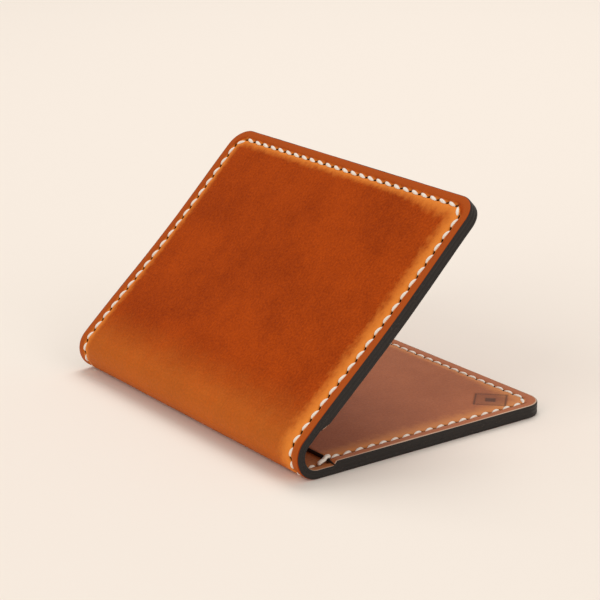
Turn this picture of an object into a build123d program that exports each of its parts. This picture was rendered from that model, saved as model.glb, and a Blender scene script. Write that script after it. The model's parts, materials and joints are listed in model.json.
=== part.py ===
"""Bifold leather wallet, standing part open on its lower cover.

Two flat covers are joined by one flexible fold. Each cover is an outer leather, a lining and a
pocket panel, saddle stitched together round three sides, with painted edges. The fold is outer
leather and lining only, cut here into stiff segments, one stitch long, that hinge on each other.

Frame: the wallet rests on its back cover at Z = 0, the fold runs along Y, and +X points to the
open edge. The origin is at the middle of the base of the bounding box. Millimetres.
"""

import os
from math import atan2, cos, degrees, hypot, radians, sin

from build123d import *

# --- Driving dimensions ---------------------------------------------------------------------

wallet_width = 102.0  # along the fold
opening_angle = 43.4  # between the covers as the wallet stands
corner_radius = 6.0  # outer corners of both covers

outer_thickness = 1.2  # exterior leather
lining_thickness = 1.1
pocket_thickness = 1.1
paint_thickness = 0.12  # black paint on every cut edge

stitches_across = 25  # full stitches along the open edge
stitches_down = 18.5  # from the corner stitch to the middle of the stitch at the fold
stitch_margin = 3.07  # from the stitch line to the edge
corner_cut_across = 3.0  # the corner stitch cuts the corner by this much along the open edge
corner_cut_down = 2.64  # and by this much down the side

mouth_to_fold = 4.8  # pocket mouth to the start of the bend
mouth_gape = 0.8  # how far the middle of the mouth stands off the lining
gape_run = 34.0  # the gape fades out over this length of pocket
gape_side = 5.9  # flat border of the pocket at each side of the gape
faded_gape = 0.001  # the gape where it has faded out, kept for the loft

thread_width = 0.8
thread_thickness = 0.45
thread_sink = 0.03  # thread lies this far below the leather's face
thread_slack = 0.05  # room round the thread in its groove
shank_radius = 0.35  # thread where it goes through the leather
stitch_slant = 9.0  # each stitch lies at this angle to the stitch line
stitch_spacing = 0.15  # air between one stitch and the next

stamp_size = 9.0  # side of the debossed diamond
stamp_core = 3.0  # side of the small diamond at its middle
stamp_turn = 45.0
stamp_line = 0.7
stamp_depth = 0.3
stamp_from_open_edge = 10.6
stamp_from_side = 9.8

fold_stitch_outer = 1.25  # the stitch at the bend's start runs on this far round its outside
fold_stitch_inner = 0.75  # and this far round its inside
fold_stitch_drop = 0.12  # that stitch lies this much deeper, because the leather curves away

segment_count = 3  # stiff segments that stand for the bend, each one stitch long
segment_gap = 6.3  # half the angle of the wedge of air between two segments, in degrees
wedge_overrun = 0.02  # the wedge's apex stands this far outside the outer face
segment_bar_gap = 0.8  # how much a segment's outer stitch bar is shorter than the segment
segment_inner_bar = 1.45  # length of its inner stitch bar
segment_outer_drop = 0.2  # depth of the outer bar, below the crown of the bend
segment_leg = 0.4  # the stitch's two legs stand this far from its middle
segment_leg_radius = 0.3

# --- Worked out from them -------------------------------------------------------------------

half_width = wallet_width / 2
stitch_line_y = half_width - stitch_margin
pitch = 2 * (stitch_line_y - corner_cut_across) / stitches_across
cover_length = stitch_margin + corner_cut_down + stitches_down * pitch
bend_angle = 180 - opening_angle
bend_length = (segment_count + 1) * pitch
bend_radius = bend_length / radians(bend_angle)
segment_angle = bend_angle / (segment_count + 1)
fold_thickness = outer_thickness + lining_thickness
cover_thickness = fold_thickness + pocket_thickness
fold_x = (bend_radius - cover_length) / 2
leather_half_width = half_width - paint_thickness
leather_length = cover_length - paint_thickness
recess_depth = thread_sink + thread_thickness + thread_slack
ends = (-1, 1)  # the two ends of the fold

# --- Planes ---------------------------------------------------------------------------------
# A cover's plane lies on its outer face at the start of the bend: x towards the open edge and
# z into the wallet. The section plane looks along the fold, with the bend's circle above x = 0.


def bend_point(angle, depth=0.0):
    """Point of the bend in the section, angle round from the back cover, depth into the leather."""
    radius = bend_radius - depth
    return -radius * sin(radians(angle)), bend_radius - radius * cos(radians(angle))


def bend_plane(angle):
    """Plane on the outer face of the bend: x back along it towards the back cover, z inwards."""
    x, z = bend_point(angle)
    tangent = (cos(radians(angle)), 0, -sin(radians(angle)))
    inwards = (sin(radians(angle)), 0, cos(radians(angle)))
    return Plane(origin=(fold_x + x, 0, z), x_dir=tangent, z_dir=inwards)


back_plane = bend_plane(0)
front_end = bend_plane(bend_angle)
front_plane = Plane(origin=front_end.origin, x_dir=-front_end.x_dir, z_dir=front_end.z_dir)
section_plane = Plane(origin=(fold_x, 0, 0), x_dir=(1, 0, 0), z_dir=(0, -1, 0))
covers = {"back": back_plane, "front": front_plane}
hinge_angles = [(i + 0.5) * segment_angle for i in range(segment_count + 1)]
lips = {"back": (0, hinge_angles[0]), "front": (hinge_angles[-1], bend_angle)}


def side_plane(plane, y=0.0):
    """Plane along a cover and through its thickness, at a distance y from its middle."""
    return Plane(origin=plane.from_local_coords((0, y, 0)), x_dir=plane.x_dir, z_dir=-plane.y_dir)


# --- The stitch line ------------------------------------------------------------------------


def stitch_holes():
    """Holes of one cover, from one end of the fold round the open edge to the other end."""
    down = [pitch * (i + 0.5) for i in range(round(stitches_down + 0.5))]
    first_y = stitch_line_y - corner_cut_across
    across = [-first_y + pitch * i for i in range(stitches_across + 1)]
    line_x = cover_length - stitch_margin
    return (
        [(x, -stitch_line_y) for x in down]
        + [(line_x, y) for y in across]
        + [(x, stitch_line_y) for x in reversed(down)]
    )


holes = stitch_holes()
wrap_holes = (holes[1], holes[-2])  # the stitches from here pass over the pocket's mouth
fold_holes = (holes[0], holes[-1])
fold_legs = [(shank_radius - fold_stitch_inner, end * stitch_line_y) for end in ends]


def stitch_bars(stitch_pairs, grow=0.0):
    """Slots for stitches, each between two neighbouring holes, in the active sketch."""
    for (x0, y0), (x1, y1) in stitch_pairs:
        turn = degrees(atan2(y1 - y0, x1 - x0)) + stitch_slant
        length = hypot(x1 - x0, y1 - y0) - stitch_spacing + grow
        with Locations(Location(((x0 + x1) / 2, (y0 + y1) / 2, 0), (0, 0, turn))):
            SlotOverall(length, thread_width + grow)


all_stitches = list(zip(holes, holes[1:]))
pocket_stitches = all_stitches[1:-1]


def bar_sketch(plane, depth, pairs, grow=0.0):
    """Sketch of stitch bars at a depth below a cover's outer face."""
    with BuildSketch(plane.offset(depth)) as bars:
        stitch_bars(pairs, grow)
    return bars.sketch


def hole_sketch(plane, depth, points, radius):
    """Sketch of round stitch holes at a depth below a cover's outer face."""
    with BuildSketch(plane.offset(depth)) as rounds:
        with Locations(*points):
            Circle(radius)
    return rounds.sketch


# --- Profiles -------------------------------------------------------------------------------


def cover_outline(plane, start, inset):
    """Sketch of a cover from x = start to its open edge, with round corners there."""
    length = cover_length - inset - start
    with BuildSketch(plane) as outline:
        with Locations((start + length / 2, 0)):
            Rectangle(length, wallet_width - 2 * inset)
        fillet(outline.vertices().group_by(Axis.X)[-1], corner_radius - inset)
    return outline.sketch


def bend_profile(plane, span, near, far):
    """Sketch of a stretch of the bend's section between two depths, less the hinge wedges."""
    start, end = span
    with BuildSketch(plane) as profile:
        with BuildLine():
            outer = CenterArc((0, bend_radius), bend_radius - near, 270 - end, end - start)
            inner = CenterArc((0, bend_radius), bend_radius - far, 270 - end, end - start)
            Line(outer @ 0, inner @ 0)
            Line(outer @ 1, inner @ 1)
        make_face()
        for angle in hinge_angles:
            apex = Vector(*bend_point(angle, -wedge_overrun))
            reach = 2 * fold_thickness
            sides = [
                apex + Vector(sin(radians(a)), cos(radians(a))) * reach
                for a in (angle - segment_gap, angle + segment_gap)
            ]
            with BuildLine():
                Polyline(apex, *sides, close=True)
            make_face(mode=Mode.SUBTRACT)
    return profile.sketch


def save(part, name):
    """Label a finished piece and write it."""
    part.label = name
    export_step(part, f"parts/{name}.step")


# --- Leather of the covers ------------------------------------------------------------------


def make_exterior(side, plane):
    """Outer leather of one cover, with its half segment of the bend."""
    with BuildPart() as exterior:
        extrude(cover_outline(plane, 0, paint_thickness), amount=outer_thickness)
        lip = bend_profile(section_plane, lips[side], 0, outer_thickness)
        extrude(lip, amount=leather_half_width, both=True)
        recess = bar_sketch(plane, 0, all_stitches, 2 * thread_slack)
        extrude(recess, amount=recess_depth, mode=Mode.SUBTRACT)
        rounds = hole_sketch(plane, 0, holes, shank_radius + thread_slack)
        extrude(rounds, amount=outer_thickness, mode=Mode.SUBTRACT)
        cut_fold_stitches(plane, 0, fold_stitch_outer)
    save(exterior.part, f"exterior_{side}")


def make_lining(side, plane):
    """Lining of one cover, under the whole pocket, with its half segment of the bend."""
    with BuildPart() as lining:
        extrude(
            cover_outline(plane.offset(outer_thickness), 0, paint_thickness),
            amount=lining_thickness,
        )
        lip = bend_profile(section_plane, lips[side], outer_thickness, fold_thickness)
        extrude(lip, amount=leather_half_width, both=True)
        rounds = hole_sketch(plane, outer_thickness, holes, shank_radius + thread_slack)
        extrude(rounds, amount=lining_thickness, mode=Mode.SUBTRACT)
        cut_fold_stitches(plane, fold_thickness - recess_depth, fold_stitch_inner)
    save(lining.part, f"lining_{side}")


def fold_bar_sketch(plane, depth, reach, grow=0.0):
    """Sketch of the bar, at each end of the fold, from the last hole to a reach past x = 0."""
    start, end_x = -reach - grow / 2, fold_holes[0][0] + (thread_width + grow) / 2
    with BuildSketch(plane.offset(depth)) as bars:
        for end in ends:
            with Locations(((start + end_x) / 2, end * stitch_line_y)):
                SlotOverall(end_x - start, thread_width + grow)
    return bars.sketch


def cut_fold_stitches(plane, depth, reach):
    """Cut the room, in the active part, for the stitch at each end of the bend's start."""
    grooves = fold_bar_sketch(plane, depth, reach, 2 * thread_slack)
    extrude(grooves, amount=recess_depth + fold_stitch_drop, mode=Mode.SUBTRACT)
    rounds = hole_sketch(plane, depth, fold_legs, shank_radius + thread_slack)
    extrude(rounds, amount=fold_thickness, both=True, mode=Mode.SUBTRACT)


def mouth_profile(plane, x, gape):
    """Section of the pocket panel across the cover at x, its middle raised by gape."""
    across = Plane(origin=plane.from_local_coords((x, 0, 0)), x_dir=plane.y_dir, z_dir=plane.x_dir)
    edge_y = leather_half_width
    flat_y = leather_half_width - gape_side
    with BuildSketch(across) as profile:
        with BuildLine():
            for z in (fold_thickness, cover_thickness):
                crown = (0, z + gape)
                Line((-edge_y, z), (-flat_y, z))
                Spline((-flat_y, z), crown, (flat_y, z), tangents=[(1, 0), (1, 0)])
                Line((flat_y, z), (edge_y, z))
            for y in (-edge_y, edge_y):
                Line((y, fold_thickness), (y, cover_thickness))
        make_face()
    return profile.sketch


def make_pocket(side, plane):
    """Pocket panel of one cover. Its mouth, towards the fold, gapes a little."""
    panel_start = mouth_to_fold + paint_thickness
    flat_start = mouth_to_fold + gape_run
    with BuildPart() as pocket:
        gaping = mouth_profile(plane, panel_start, mouth_gape)
        loft([gaping, mouth_profile(plane, flat_start, faded_gape)])
        panel = cover_outline(plane.offset(fold_thickness), flat_start, paint_thickness)
        extrude(panel, amount=pocket_thickness)
        face_depth = cover_thickness - recess_depth
        recess = bar_sketch(plane, face_depth, pocket_stitches, 2 * thread_slack)
        extrude(recess, amount=2 * recess_depth, mode=Mode.SUBTRACT)
        rounds = hole_sketch(plane, fold_thickness, holes[1:-1], shank_radius + thread_slack)
        extrude(rounds, amount=2 * pocket_thickness, mode=Mode.SUBTRACT)
        if side == "back":
            deboss_stamp(plane)
    save(pocket.part, f"pocket_{side}")


def deboss_stamp(plane):
    """Plain diamond, pressed in the active pocket panel near the open corner."""
    centre = (cover_length - stamp_from_open_edge, stamp_from_side - half_width)
    with BuildSketch(plane.offset(cover_thickness - stamp_depth)) as diamond:
        with Locations(Location((*centre, 0), (0, 0, stamp_turn))):
            Rectangle(stamp_size, stamp_size)
            Rectangle(stamp_size - 2 * stamp_line, stamp_size - 2 * stamp_line, mode=Mode.SUBTRACT)
            Rectangle(stamp_core, stamp_core)
    extrude(diamond.sketch, amount=2 * stamp_depth, mode=Mode.SUBTRACT)


# --- Edge paint -----------------------------------------------------------------------------


def make_edge_paint(side, plane):
    """Paint on a cover's three free edges, on its pocket's mouth and on the ends of its lip."""
    panel_plane = plane.offset(fold_thickness)
    with BuildPart() as paint:
        extrude(cover_outline(plane, 0, 0), amount=fold_thickness)
        extrude(cover_outline(panel_plane, mouth_to_fold, 0), amount=pocket_thickness)
        inner = cover_outline(plane, -mouth_to_fold, paint_thickness)
        extrude(inner, amount=cover_thickness, mode=Mode.SUBTRACT)
        extrude(mouth_profile(plane, mouth_to_fold, mouth_gape), amount=paint_thickness)
        for end in ends:
            lip_end = Plane(
                origin=(fold_x, end * leather_half_width, 0),
                x_dir=section_plane.x_dir,
                z_dir=section_plane.z_dir,
            )
            profile = bend_profile(lip_end, lips[side], 0, fold_thickness)
            extrude(profile, amount=-end * paint_thickness)
    save(paint.part, f"edge_paint_{side}")


# --- Thread ---------------------------------------------------------------------------------


def make_thread(side, plane):
    """Saddle stitching of one cover: a bar on each face between holes, and a shank in each."""
    inner_depth = cover_thickness - thread_sink - thread_thickness
    shank_top = inner_depth + thread_thickness
    with BuildPart() as thread:
        extrude(bar_sketch(plane, thread_sink, all_stitches), amount=thread_thickness)
        extrude(bar_sketch(plane, inner_depth, pocket_stitches), amount=thread_thickness)
        rounds = hole_sketch(plane, thread_sink, holes[1:-1], shank_radius)
        extrude(rounds, amount=shank_top - thread_sink)
        rounds = hole_sketch(plane, thread_sink, fold_holes, shank_radius)
        extrude(rounds, amount=fold_thickness - thread_sink)
        fold_stitches(plane)
        for end in ends:
            wrap_stitch(plane, end)
    save(thread.part, f"thread_{side}")


def wrap_stitch(plane, end):
    """Stitch, in the active part, over the pocket's mouth and down to the lining."""
    half_thread = thread_thickness / 2
    over_mouth = cover_thickness + thread_slack + half_thread
    before_mouth = mouth_to_fold - thread_slack - half_thread
    on_lining = fold_thickness + thread_slack + half_thread
    top_hole, low_hole = wrap_holes[0][0], fold_holes[0][0]
    with BuildSketch(side_plane(plane, end * stitch_line_y)) as loop:
        with BuildLine():
            Polyline(
                (top_hole, inner_depth_of(cover_thickness)),
                (top_hole, over_mouth),
                (before_mouth, over_mouth),
                (before_mouth, on_lining),
                (low_hole, on_lining),
                (low_hole, inner_depth_of(fold_thickness)),
            )
        trace(line_width=thread_thickness)
    extrude(loop.sketch, amount=thread_width / 2, both=True)


def inner_depth_of(face_depth):
    """Depth of the middle of a thread that lies sunk in an inner face."""
    return face_depth - thread_sink - thread_thickness / 2


def fold_stitches(plane):
    """Stitch, in the active part, from each last hole round the start of the bend."""
    outer_depth = thread_sink + fold_stitch_drop
    inner_depth = fold_thickness - thread_sink - thread_thickness
    bar = fold_bar_sketch(plane, outer_depth, fold_stitch_outer)
    extrude(bar, amount=thread_thickness)
    bar = fold_bar_sketch(plane, inner_depth, fold_stitch_inner)
    extrude(bar, amount=thread_thickness)
    legs = hole_sketch(plane, outer_depth, fold_legs, shank_radius)
    extrude(legs, amount=inner_depth + thread_thickness - outer_depth)


# --- Segments of the fold -------------------------------------------------------------------


def make_segment(number):
    """One stiff segment of the fold: outer leather, lining, edge paint and its two stitches."""
    span = (hinge_angles[number - 1], hinge_angles[number])
    layers = {
        f"spine_exterior_{number}": (0, outer_thickness),
        f"spine_lining_{number}": (outer_thickness, fold_thickness),
    }
    for name, (near, far) in layers.items():
        with BuildPart() as leather:
            extrude(bend_profile(section_plane, span, near, far), amount=leather_half_width, both=True)
            for end in ends:
                segment_stitch(number, end, 2 * thread_slack)
        save(leather.part, name)
    with BuildPart() as paint:
        profile = bend_profile(section_plane, span, 0, fold_thickness)
        extrude(profile, amount=half_width, both=True)
        extrude(profile, amount=leather_half_width, both=True, mode=Mode.SUBTRACT)
    save(paint.part, f"spine_edge_paint_{number}")
    with BuildPart() as thread:
        for end in ends:
            segment_stitch(number, end, 0.0)
    save(thread.part, f"spine_thread_{number}")


def segment_stitch(number, end, grow):
    """A segment's stitch, added to the active part, or its room cut away where grow is set."""
    plane = bend_plane(number * segment_angle)
    mode = Mode.SUBTRACT if grow else Mode.ADD
    bars = (
        (pitch - segment_bar_gap, segment_outer_drop - grow, thread_thickness + 2 * grow),
        (segment_inner_bar, fold_thickness - thread_thickness - grow, thread_thickness + 4 * grow),
    )
    for length, depth, thickness in bars:
        with BuildSketch(plane.offset(depth)) as bar:
            with Locations((0, end * stitch_line_y)):
                SlotOverall(length + grow, thread_width + grow)
        extrude(bar.sketch, amount=thickness, mode=mode)
    feet = [(side * segment_leg, end * stitch_line_y) for side in ends]
    legs = hole_sketch(plane, segment_outer_drop, feet, segment_leg_radius + grow / 2)
    extrude(legs, amount=fold_thickness - segment_outer_drop - thread_sink, mode=mode)


# --- Build ----------------------------------------------------------------------------------

os.makedirs("parts", exist_ok=True)
for side, plane in covers.items():
    make_exterior(side, plane)
    make_lining(side, plane)
    make_pocket(side, plane)
    make_edge_paint(side, plane)
    make_thread(side, plane)
for number in range(1, segment_count + 1):
    make_segment(number)

print(f"pitch {pitch:.3f}  cover length {cover_length:.2f}  bend radius {bend_radius:.3f}")
print(f"fold line at x {fold_x:.3f}  segment angle {segment_angle:.3f}")
for angle in hinge_angles:
    hinge_x, hinge_z = bend_point(angle)
    print(f"hinge at x {fold_x + hinge_x:.4f}  z {hinge_z:.4f}")
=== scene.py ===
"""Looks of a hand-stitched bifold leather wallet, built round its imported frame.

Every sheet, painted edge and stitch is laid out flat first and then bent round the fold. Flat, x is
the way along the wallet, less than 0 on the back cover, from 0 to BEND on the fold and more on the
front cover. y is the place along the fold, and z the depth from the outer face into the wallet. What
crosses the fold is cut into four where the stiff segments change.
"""

import json
import math

import bmesh
import bpy
from bpy.props import FloatProperty, FloatVectorProperty, PointerProperty
from bpy.types import Operator, Panel, PropertyGroup
from mathutils import Matrix, Vector, noise

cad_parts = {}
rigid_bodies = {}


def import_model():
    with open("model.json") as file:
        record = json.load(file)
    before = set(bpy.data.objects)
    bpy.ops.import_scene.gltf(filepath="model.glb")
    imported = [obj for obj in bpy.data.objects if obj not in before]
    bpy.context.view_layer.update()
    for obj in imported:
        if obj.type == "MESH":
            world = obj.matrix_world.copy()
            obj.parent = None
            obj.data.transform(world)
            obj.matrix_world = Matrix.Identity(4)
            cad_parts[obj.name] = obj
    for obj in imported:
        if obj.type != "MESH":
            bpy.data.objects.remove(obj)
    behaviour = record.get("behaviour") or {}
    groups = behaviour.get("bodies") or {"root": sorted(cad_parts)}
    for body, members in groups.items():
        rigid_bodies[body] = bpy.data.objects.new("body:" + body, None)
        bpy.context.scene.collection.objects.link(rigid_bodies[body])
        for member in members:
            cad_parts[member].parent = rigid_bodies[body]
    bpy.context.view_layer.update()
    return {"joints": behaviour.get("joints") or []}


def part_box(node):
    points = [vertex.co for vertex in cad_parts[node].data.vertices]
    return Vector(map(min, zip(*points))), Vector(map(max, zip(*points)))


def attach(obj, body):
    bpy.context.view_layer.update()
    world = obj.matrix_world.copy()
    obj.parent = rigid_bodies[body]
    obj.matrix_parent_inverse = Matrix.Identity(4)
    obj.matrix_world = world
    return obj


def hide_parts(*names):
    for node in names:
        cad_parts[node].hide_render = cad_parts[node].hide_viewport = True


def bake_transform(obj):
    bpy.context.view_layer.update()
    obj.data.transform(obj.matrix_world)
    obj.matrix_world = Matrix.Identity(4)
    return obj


bl_info = {
    "name": "Bifold Wallet",
    "version": (1, 0, 0),
    "blender": (4, 5, 0),
    "location": "View3D > Sidebar > Wallet",
    "description": "Builds a saddle-stitched bifold wallet with painted edges round its frame",
    "category": "Add Mesh",
}

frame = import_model()

MM = 0.001

# --- Places read from the frame ---------------------------------------------------------------
# "run" is the distance along a cover from the start of the bend to its open edge, and "rim" the
# distance from the cover's outline.

JOINTS = frame["joints"]
BODIES = [JOINTS[0]["parent"]] + [joint["child"] for joint in JOINTS]
TURN = math.radians(JOINTS[0]["range_deg"][1])  # of one hinge, from rest to flat
HINGE_X, _, HINGE_Z = JOINTS[0]["pos_m"]
RADIUS = HINGE_Z / (1 - math.cos(TURN / 2))  # of the bend's outer face
FOLD_X = HINGE_X + RADIUS * math.sin(TURN / 2)
PITCH = RADIUS * TURN  # one stitch, and one segment of the bend
BEND = PITCH * len(JOINTS)
PAINT_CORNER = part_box("edge_paint_back")[1]
HALF = PAINT_CORNER.y
LENGTH = PAINT_CORNER.x - FOLD_X
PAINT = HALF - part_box("exterior_back")[1].y
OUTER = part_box("lining_back")[0].z  # depth of the lining's outer face
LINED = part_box("pocket_back")[0].z  # depth of the pocket's outer face
FULL = LINED + (LINED - OUTER)  # depth of the pocket's inner face
GAPE = PAINT_CORNER.z - FULL  # of the pocket's mouth, at its middle
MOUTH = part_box("pocket_back")[0].x - PAINT - FOLD_X  # run of the pocket's mouth
THREAD_WIDTH = 0.8 * MM
LINE_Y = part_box("spine_thread_2")[1].y - THREAD_WIDTH / 2  # the stitch line beside the rim
MARGIN = HALF - LINE_Y
ACROSS = 25  # whole stitches along an open edge
LINE_END = PITCH * ACROSS / 2  # where the corner stitch leaves the row along the open edge
LAST_SIDE_HOLE = 18
SIDE_END = PITCH * (LAST_SIDE_HOLE + 0.5)  # run where the corner stitch leaves the side's row
LINE_RUN = LENGTH - MARGIN
CORNER = 6.0 * MM
BORDERS = (PITCH, 2 * PITCH, 3 * PITCH)  # where the fold's four lengths of sheet meet


# --- Settings ---------------------------------------------------------------------------------


def length_setting(name, description, default):
    """A small length, in metres and shown to a hundredth of a millimetre."""
    return FloatProperty(
        name=name, description=description, default=default, unit="LENGTH", precision=5
    )


class WalletSizes(PropertyGroup):
    """Sizes of the leather's relief and of the stitches."""

    roll: length_setting(
        "Edge roll", "Radius that the leather's edges are rubbed down to", 0.55 * MM
    )
    groove: length_setting(
        "Groove depth", "How deep the stitch line is pressed into the leather", 0.2 * MM
    )
    pit: length_setting(
        "Hole depth", "How far the leather is drawn in at each stitch hole", 0.3 * MM
    )
    wave: length_setting(
        "Unevenness", "Height of the slow waves in the leather's face", 0.12 * MM
    )
    bow: length_setting(
        "Bow of the front cover",
        "How far the middle of the front cover hangs in towards the back cover",
        0.7 * MM,
    )
    stitch_width: length_setting(
        "Stitch width", "Width of one stitch of waxed thread", 0.86 * MM
    )
    stitch_length: FloatProperty(
        name="Stitch length",
        description="Visible length of a stitch, as a share of the pitch",
        default=0.8,
        subtype="FACTOR",
        min=0.3,
        max=1.0,
    )
    stamp: length_setting(
        "Stamp depth", "Depth of the plain diamond pressed into the back pocket", 0.3 * MM
    )


def colour(name, description, default):
    """A colour setting, linear red, green and blue."""
    return FloatVectorProperty(
        name=name, description=description, default=default, subtype="COLOR", size=3, min=0, max=1
    )


class WalletColours(PropertyGroup):
    """Colours of the leathers, the thread, the edge paint and the paper under the wallet."""

    field: colour("Field", "Middle of the exterior leather", (0.47, 0.067, 0.003))
    shade: colour("Shade", "Darker mottling of the exterior leather", (0.27, 0.032, 0.001))
    pulled: colour("Pulled leather", "Leather beside the stitches and at the fold", (0.86, 0.27, 0.04))
    rim: colour("Rim", "Leather outside the stitch line", (0.44, 0.085, 0.012))
    pocket: colour("Pocket", "Middle of the pocket leather", (0.43, 0.13, 0.045))
    pocket_shade: colour("Pocket shade", "Darker mottling of the pocket leather", (0.31, 0.08, 0.022))
    pocket_pulled: colour("Pulled pocket", "Pocket leather beside the stitches", (0.62, 0.23, 0.06))
    lining: colour("Lining", "Tan lining leather", (0.46, 0.17, 0.06))
    cut: colour("Bare cut", "Thin pale line beside the painted edge", (0.62, 0.44, 0.32))
    paint: colour("Edge paint", "Black paint on the cut edges", (0.019, 0.015, 0.013))
    thread: colour("Thread", "Waxed ivory thread", (0.96, 0.92, 0.85))
    paper: colour("Paper", "Pale paper that the wallet stands on", (0.90, 0.83, 0.76))


class WalletView(PropertyGroup):
    """Camera and light."""

    distance: FloatProperty(
        name="Distance", description="From the camera to its aim", default=0.5, unit="LENGTH"
    )
    azimuth: FloatProperty(
        name="Azimuth",
        description="Turn of the camera round the wallet, 0 looking along the fold",
        default=math.radians(-35.6),
        subtype="ANGLE",
    )
    elevation: FloatProperty(
        name="Elevation",
        description="Angle of the camera above the paper",
        default=math.radians(17.5),
        subtype="ANGLE",
    )
    roll: FloatProperty(
        name="Roll", description="Tilt of the picture", default=math.radians(-0.52), subtype="ANGLE"
    )
    lens: FloatProperty(
        name="Lens", description="Focal length in millimetres", default=120.2, unit="CAMERA"
    )
    aim: FloatVectorProperty(
        name="Aim",
        description="Point that the camera looks at",
        default=(-0.0128, -0.0158, 0.0315),
        subtype="TRANSLATION",
    )
    key: FloatProperty(
        name="Key", description="Power of the main softbox, in watts", default=6.6, unit="POWER"
    )
    ambient: FloatProperty(
        name="Ambient", description="Strength of the light from all round", default=0.5
    )


# --- The wallet laid out flat -----------------------------------------------------------------


def run_of(x):
    """Distance along its own cover of a flat place. It is less than 0 inside the bend."""
    return -x if x < BEND / 2 else x - BEND


def flat_x(run, front):
    """Flat place of a run on the front or the back cover."""
    return BEND + run if front else -run


def bend_flat(point, bow):
    """Where a flat point lies once the wallet is folded."""
    x, y, depth = point
    if x <= 0:
        return Vector((FOLD_X - x, y, depth))
    angle = min(x, BEND) / RADIUS
    run = max(x - BEND, 0)
    if run:
        depth += bow * (1 - math.cos(2 * math.pi * min(run / LENGTH, 1))) / 2
    centre = Vector((FOLD_X, y, RADIUS))
    inwards = Vector((math.sin(angle), 0, math.cos(angle)))
    along = Vector((-math.cos(angle), 0, math.sin(angle)))
    return centre - inwards * (RADIUS - depth) + along * run


def rim_distance(x, y):
    """Distance from a cover's outline, round its corners."""
    over_x = run_of(x) - (LENGTH - CORNER)
    over_y = abs(y) - (HALF - CORNER)
    if over_x > 0 and over_y > 0:
        return CORNER - math.hypot(over_x, over_y)
    return min(CORNER - over_x, CORNER - over_y)


def seam_distance(x, y):
    """Distance from the stitch line."""
    run, side = run_of(x), abs(y)
    start = Vector((SIDE_END, LINE_Y))
    cut = Vector((LINE_RUN, LINE_END)) - start
    place = Vector((run, side)) - start
    share = min(max(place.dot(cut) / cut.length_squared, 0), 1)
    corner = (place - cut * share).length
    beside = math.hypot(max(run - SIDE_END, 0), side - LINE_Y)
    across = math.hypot(max(side - LINE_END, 0), run - LINE_RUN)
    return min(corner, beside, across)


def nearest_hole(x, y):
    """Flat place of the stitch hole nearest to a flat place, and the way the seam goes on there."""
    run, front = run_of(x), x >= BEND / 2
    count = min(round(run / PITCH - 0.5), LAST_SIDE_HOLE)
    side_hole = Vector((flat_x((count + 0.5) * PITCH, front), math.copysign(LINE_Y, y)))
    step = min(max(round((y + LINE_END) / PITCH), 0), ACROSS)
    end_hole = Vector((flat_x(LINE_RUN, front), step * PITCH - LINE_END))
    place = Vector((x, y))
    if (side_hole - place).length < (end_hole - place).length:
        return side_hole, Vector((-math.copysign(1, y), 0))
    return end_hole, Vector((0, 1 if front else -1))


def stitch_ends():
    """Both ends of every stitch as flat places, in order round the one seam of the wallet."""
    first, last = -LAST_SIDE_HOLE - 1, LAST_SIDE_HOLE + len(JOINTS)
    near = [Vector(((count + 0.5) * PITCH, -LINE_Y)) for count in range(first, last + 1)]
    steps = range(ACROSS + 1)
    front_row = [Vector((BEND + LINE_RUN, step * PITCH - LINE_END)) for step in steps]
    far = [Vector((hole.x, LINE_Y)) for hole in reversed(near)]
    back_row = [Vector((-LINE_RUN, LINE_END - step * PITCH)) for step in steps]
    holes = near + front_row + far + back_row
    return list(zip(holes, holes[1:] + holes[:1]))


# --- Relief of the leather --------------------------------------------------------------------


def bump(distance, width):
    """1 at no distance, falling off over a width."""
    return math.exp(-((distance / width) ** 2))


def relief(x, y, sizes):
    """How far the face of a stitched sheet is drawn in at a flat place."""
    rim = max(rim_distance(x, y), 0)
    seam = seam_distance(x, y)
    depth = sizes.wave * noise.noise(Vector((x * 45, y * 45, 0)))
    if rim < sizes.roll:
        depth += sizes.roll - math.sqrt(max(sizes.roll**2 - (sizes.roll - rim) ** 2, 0))
    if seam < 4 * MM:
        hole, way = nearest_hole(x, y)
        off = Vector((x, y)) - hole
        along, beside = off.dot(way), off.x * way.y - off.y * way.x
        depth += sizes.groove * bump(seam, 0.7 * MM)
        depth += sizes.pit * bump(math.hypot(along / 1.5, beside), 0.42 * MM)
        depth += 0.25 * sizes.groove * bump(off.length, 1.3 * MM)
    return depth


def gape_at(x, y):
    """How far the pocket stands off the lining, most at the middle of its mouth."""
    reach = 34.0 * MM
    flat_side = 5.9 * MM
    run = run_of(x) - MOUTH
    across = abs(y) / (HALF - flat_side)
    if run > reach or across >= 1:
        return 0.0
    fade = (1 + math.cos(math.pi * max(run, 0) / reach)) / 2
    return GAPE * fade * (1 + math.cos(math.pi * across)) / 2


def stamp_depth(x, y, sizes):
    """Depth of the diamond pressed into the back pocket near its open corner."""
    centre = Vector((-(LENGTH - 10.6 * MM), 9.8 * MM - HALF))
    off = Vector((x, y)) - centre
    spread = abs(off.x) + abs(off.y)
    line = bump(spread - 5.6 * MM, 0.42 * MM)
    core = bump(max(spread - 1.7 * MM, 0), 0.35 * MM)
    floor = 0.35 * (1 - min(max((spread - 5.6 * MM) / (0.3 * MM), 0), 1))
    return sizes.stamp * max(line, core, floor)


# --- Grid lines -------------------------------------------------------------------------------

RIM_INSETS = [inset * MM for inset in (0.12, 0.2, 0.32, 0.48, 0.7, 1.0, 1.4, 1.8, 2.15, 2.45)]
RIM_INSETS += [inset * MM for inset in (2.7, 2.9, 3.07, 3.24, 3.45, 3.7, 4.0, 4.35, 4.8, 5.4, 6.0)]


def even_lines(start, stop, step):
    """Evenly spaced lines from start up to just before stop."""
    count = max(round((stop - start) / step), 1)
    return [start + (stop - start) * i / count for i in range(count)]


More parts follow.
